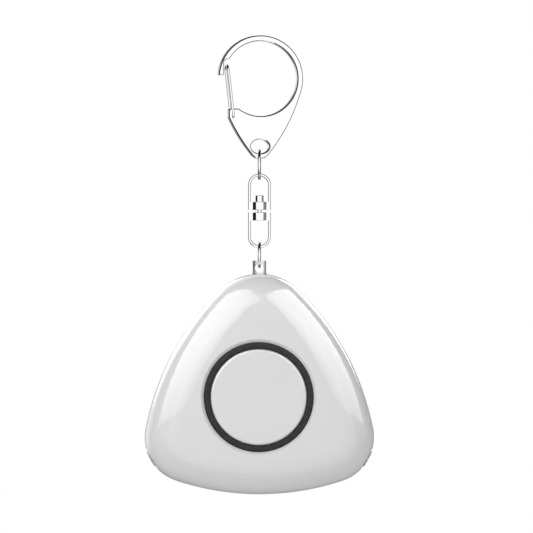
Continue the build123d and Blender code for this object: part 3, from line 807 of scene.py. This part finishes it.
@dataclass(frozen=True)
class Softbox:
    """Flat panel of light: its middle, counted from the button, its two directions, its size and its glow.

    Its glow fades to edge_share at its near and lower edge, over fade of its length and height, and its near
    upper corner is cut off.
    """

    name: str
    middle: Place
    along: Place
    up: Place
    length: float
    height: float
    glow: float
    reach: Light
    edge_share: float = 1.0
    fade: float = 0.5
    corner_cut: float = 0.0
    corner_blur: float = 0.06

    def shade(self, lamp: bpy.types.AreaLight, upright: bool) -> None:
        """Makes the panel's glow fade towards two of its edges and cuts a corner.

        Args:
            lamp: The panel's lamp.
            upright: Whether the lamp's own Y points up.
        """
        lamp.use_nodes = True
        tree = lamp.node_tree
        tree.nodes.clear()
        spot = add_node(tree, "ShaderNodeNewGeometry", {}).outputs["Parametric"]
        split = add_node(tree, "ShaderNodeSeparateXYZ", {"Vector": spot})
        start, end = (0.0, 1.0) if upright else (1.0, 0.0)
        height = span(tree, split.outputs["Y"], start, end, 0.0, 1.0)
        across = span(tree, split.outputs["X"], 0.0, self.fade, self.edge_share, 1.0)
        rise = span(tree, height, 0.0, self.fade, self.edge_share, 1.0)
        corner = compute(tree, "ADD", split.outputs["X"], compute(tree, "SUBTRACT", 1.0, height))
        kept = span(tree, corner, self.corner_cut, self.corner_cut + self.corner_blur, 0.0, 1.0)
        share = compute(tree, "MULTIPLY", compute(tree, "MULTIPLY", across, rise), kept)
        glow = add_node(tree, "ShaderNodeEmission", {"Color": WHITE, "Strength": share})
        add_node(tree, "ShaderNodeOutputLight", {"Surface": glow.outputs["Emission"]})

    def hang(self, origin: Vector) -> bpy.types.Object:
        """Makes the lamp and turns it towards the object.

        Args:
            origin: The button's middle.

        Returns:
            The lamp.
        """
        lamp = bpy.data.lights.new(self.name, "AREA")
        lamp.shape = "RECTANGLE"
        lamp.size, lamp.size_y = self.length, self.height
        lamp.energy = self.glow * math.pi * self.length * self.height
        mount = bpy.data.objects.new(self.name, lamp)
        bpy.context.scene.collection.objects.link(mount)
        away = Vector(self.along).cross(Vector(self.up)).normalized()
        away *= math.copysign(1.0, away.dot(Vector(self.middle)))
        across = Vector(self.along).normalized()
        rise = away.cross(across)
        if self.edge_share < 1.0:
            self.shade(lamp, rise.dot(Vector(self.up)) > 0)
        turn = Matrix((across, rise, away)).transposed().to_4x4()
        mount.matrix_world = Matrix.Translation(origin + Vector(self.middle)) @ turn
        mount.visible_camera = False
        mount.visible_diffuse = self.reach is Light.BODY
        mount.visible_glossy = self.reach is Light.GLOSS
        LOG.info("hung %s", self.name)
        return mount


def rim_panel(name: str, sideways: float, length: float, glow: float) -> Softbox:
    """Panel behind the casing and above it, which lights one side of its rim.

    Args:
        name: Name of the panel.
        sideways: Its middle's place along X.
        length: Its length along X.
        glow: How strongly it glows.

    Returns:
        The panel.
    """
    return Softbox(
        name=name,
        middle=(sideways, 0.61, 0.29),
        along=(1.0, 0.0, 0.0),
        up=(0.0, -0.40, 0.92),
        length=length,
        height=0.32,
        glow=glow,
        reach=Light.GLOSS,
    )


LEFT_SOFTBOX = Softbox(
    name="left_softbox",
    middle=(-0.516, -0.260, 0.417),
    along=(-0.783, 0.613, 0.109),
    up=(0.446, 0.429, 0.786),
    length=1.19,
    height=0.88,
    glow=4.9,
    reach=Light.GLOSS,
    edge_share=0.45,
    fade=0.40,
    corner_cut=0.30,
)
RIGHT_SOFTBOX = Softbox(
    name="right_softbox",
    middle=(0.472, -0.176, 0.425),
    along=(0.434, 0.900, 0.027),
    up=(-0.490, 0.211, 0.846),
    length=1.06,
    height=0.76,
    glow=5.4,
    reach=Light.GLOSS,
    edge_share=0.45,
    fade=0.45,
    corner_cut=0.14,
)
LEFT_RIM_PANEL = rim_panel("left_rim_panel", sideways=-0.40, length=0.52, glow=2.8)
RIGHT_RIM_PANEL = rim_panel("right_rim_panel", sideways=0.285, length=0.33, glow=2.4)
KEY_LIGHT = Softbox(
    name="key_light",
    middle=(-0.75, -1.10, 0.75),
    along=(0.83, -0.56, 0.0),
    up=(0.25, 0.37, 0.89),
    length=1.00,
    height=0.70,
    glow=2.5,
    reach=Light.BODY,
)


@dataclass(frozen=True)
class Camera:
    """Where the photograph was taken from: what it aims at, how far off, and the angles round and above."""

    aim: Place = (0.0020, 0.0, -0.0631)
    distance: float = 3.0
    frame_width: float = 0.14924
    azimuth: float = 0.9
    elevation: float = 0.0
    sensor_width: float = 36.0
    clip_start: float = 0.01
    clip_end: float = 50.0

    def build(self) -> None:
        """Puts the camera in its place."""
        camera = bpy.data.cameras.new("camera")
        camera.sensor_width = self.sensor_width
        camera.lens = self.sensor_width * self.distance / self.frame_width
        camera.clip_start = self.clip_start
        camera.clip_end = self.clip_end
        mount = bpy.data.objects.new("camera", camera)
        bpy.context.scene.collection.objects.link(mount)
        turn, rise = math.radians(self.azimuth), math.radians(self.elevation)
        level = math.cos(rise)
        back = Vector((math.sin(turn) * level, -math.cos(turn) * level, math.sin(rise)))
        mount.location = Vector(self.aim) + back * self.distance
        mount.rotation_euler = (-back).to_track_quat("-Z", "Y").to_euler()
        bpy.context.scene.camera = mount


@dataclass(frozen=True)
class LampRig:
    """Lamps round the button, turned away from the metal."""

    metal: tuple[str, ...]
    lamps: tuple[Softbox, ...] = (LEFT_SOFTBOX, RIGHT_SOFTBOX, LEFT_RIM_PANEL, RIGHT_RIM_PANEL, KEY_LIGHT)

    def build(self) -> None:
        """Keeps the metal out of the reflections and of the lamps, and hangs the lamps."""
        turned_away = bpy.data.collections.new("metal")
        for name in self.metal:
            turned_away.objects.link(bpy.data.objects[name])
            bpy.data.objects[name].visible_glossy = False
        for entry in turned_away.collection_objects:
            entry.light_linking.link_state = "EXCLUDE"
        low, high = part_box("button_cap")
        origin = (low + high) / 2
        for lamp in self.lamps:
            lamp.hang(origin).light_linking.receiver_collection = turned_away


@dataclass(frozen=True)
class Surroundings:
    """Plain light all round, flags for what is glossy, and white for what looks past the object.

    A direction's facing is 0 straight behind the object and 1 straight in front of it. The white in front
    starts at one facing on the left and another on the right, and so does the white behind, which ends at
    its foot. Between them are the flags, black at the upper left and grey towards the lower right. A grey
    card stands straight behind.
    """

    fill: float = 0.70
    white: float = 1.06
    black_flag: float = 0.012
    grey_flag: float = 0.24
    grey_direction: Place = (0.71, 0.0, -0.71)
    grey_reach: float = 0.7
    front_edge: Pair = (0.80, 0.69)
    front_sides: Pair = (-0.3, 0.5)
    back_edge: Pair = (0.25, 0.067)
    back_sides: Pair = (-0.3, 0.3)
    back_foot: Pair = (-0.35, -0.10)
    edge_blur: float = 0.03
    card_edge: Pair = (0.055, 0.035)
    card_tone: float = 0.25

    def white_share(
        self, tree: bpy.types.NodeTree, way: bpy.types.Node, facing: bpy.types.NodeSocket
    ) -> bpy.types.NodeSocket:
        """Works out where the surroundings are white.

        Args:
            tree: The world's node tree.
            way: The node that splits the direction into X, Y and Z.
            facing: The direction's facing.

        Returns:
            1 in the white in front and behind, 0 in the flags.
        """
        front_edge = span(tree, way.outputs["X"], *self.front_sides, *self.front_edge)
        back_edge = span(tree, way.outputs["X"], *self.back_sides, *self.back_edge)
        past_front = compute(tree, "SUBTRACT", facing, front_edge)
        past_back = compute(tree, "SUBTRACT", back_edge, facing)
        front = span(tree, past_front, 0.0, self.edge_blur, 0.0, 1.0)
        behind = span(tree, past_back, 0.0, self.edge_blur, 0.0, 1.0)
        above_foot = span(tree, way.outputs["Z"], *self.back_foot, 0.0, 1.0)
        return compute(tree, "MAXIMUM", front, compute(tree, "MULTIPLY", behind, above_foot))

    def glossy_light(self, tree: bpy.types.NodeTree) -> bpy.types.NodeSocket:
        """Works out what a glossy surface sees in each direction.

        Args:
            tree: The world's node tree.

        Returns:
            How bright the surroundings are there.
        """
        direction = add_node(tree, "ShaderNodeTexCoord", {}).outputs["Generated"]
        way = add_node(tree, "ShaderNodeSeparateXYZ", {"Vector": direction})
        facing = span(tree, way.outputs["Y"], 1.0, -1.0, 0.0, 1.0)
        both = {0: direction, 1: self.grey_direction}
        likeness = add_node(tree, "ShaderNodeVectorMath", both, operation="DOT_PRODUCT").outputs["Value"]
        flags = span(tree, likeness, 0.0, self.grey_reach, self.black_flag, self.grey_flag)
        around = mix(tree, self.white_share(tree, way, facing), flags, self.white)
        card = span(tree, facing, *self.card_edge, 0.0, 1.0)
        return mix(tree, card, around, self.card_tone)

    def build(self) -> None:
        """Makes the world."""
        world = bpy.data.worlds.new("studio")
        world.use_nodes = True
        tree = world.node_tree
        tree.nodes.clear()
        lit = mix(tree, ray(tree, "Is Glossy Ray"), self.fill, self.glossy_light(tree))
        sky = mix(tree, looks_past(tree), lit, 1.0)
        background = add_node(tree, "ShaderNodeBackground", {"Color": WHITE, "Strength": sky})
        add_node(tree, "ShaderNodeOutputWorld", {"Surface": background.outputs["Background"]})
        bpy.context.scene.world = world


@dataclass(frozen=True)
class Floor:
    """Pale floor that keeps the shadow near the object and glows plain white far off."""

    height: float = -0.26
    radius: float = 4.0
    sides: int = 96
    tone: Colour = (0.86, 0.86, 0.86)
    roughness: float = 0.9
    near_glow: float = 0.2
    glow_reach: Pair = (0.25, 1.0)

    def material(self) -> bpy.types.Material:
        """Builds the floor's material, whose glow grows with the distance from the object.

        Returns:
            The material.
        """
        material = bpy.data.materials.new("pale_floor")
        material.use_nodes = True
        tree = material.node_tree
        shader = tree.nodes["Principled BSDF"]
        shader.inputs["Base Color"].default_value = opaque(self.tone)
        shader.inputs["Roughness"].default_value = self.roughness
        shader.inputs["Specular IOR Level"].default_value = 0.0
        place = add_node(tree, "ShaderNodeTexCoord", {}).outputs["Object"]
        reach = add_node(tree, "ShaderNodeVectorMath", {0: place}, operation="LENGTH").outputs["Value"]
        glow = span(tree, reach, *self.glow_reach, self.near_glow, 1.0)
        shader.inputs["Emission Color"].default_value = WHITE
        tree.links.new(compute(tree, "MULTIPLY", glow, looks_past(tree)), shader.inputs["Emission Strength"])
        return material

    def build(self) -> None:
        """Lays the floor."""
        mesh = bpy.data.meshes.new("floor")
        disc = bmesh.new()
        bmesh.ops.create_circle(disc, cap_ends=True, radius=self.radius, segments=self.sides)
        disc.to_mesh(mesh)
        disc.free()
        mesh.materials.append(self.material())
        floor = bpy.data.objects.new("floor", mesh)
        bpy.context.scene.collection.objects.link(floor)
        floor.location = (0.0, 0.0, self.height)
        floor.visible_glossy = False


@dataclass
class Studio:
    """Camera, lamps, white surroundings and floor."""

    metal: tuple[str, ...]

    def build(self) -> None:
        """Builds the whole studio."""
        for part in (Camera(), LampRig(self.metal), Surroundings(), Floor()):
            part.build()
        bpy.context.scene.view_settings.view_transform = "Standard"
        LOG.info("studio ready")


def main() -> None:
    """Builds the studio, then every sub-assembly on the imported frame."""
    logging.basicConfig(level=logging.INFO, format="%(message)s")
    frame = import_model()
    Studio(METAL_PIECES).build()
    wardrobe = Wardrobe(frame["nodes"])
    assemblies = (
        SnapHook(wardrobe),
        Chain(wardrobe),
        Casing(wardrobe),
        PressButton(wardrobe),
        CornerLamp(wardrobe, Side.LEFT),
        CornerLamp(wardrobe, Side.RIGHT),
        BatteryBay(wardrobe),
        Circuit(wardrobe),
    )
    for assembly in assemblies:
        assembly.build()
        LOG.info("built %s", type(assembly).__name__)


if __name__ == "__main__":
    main()
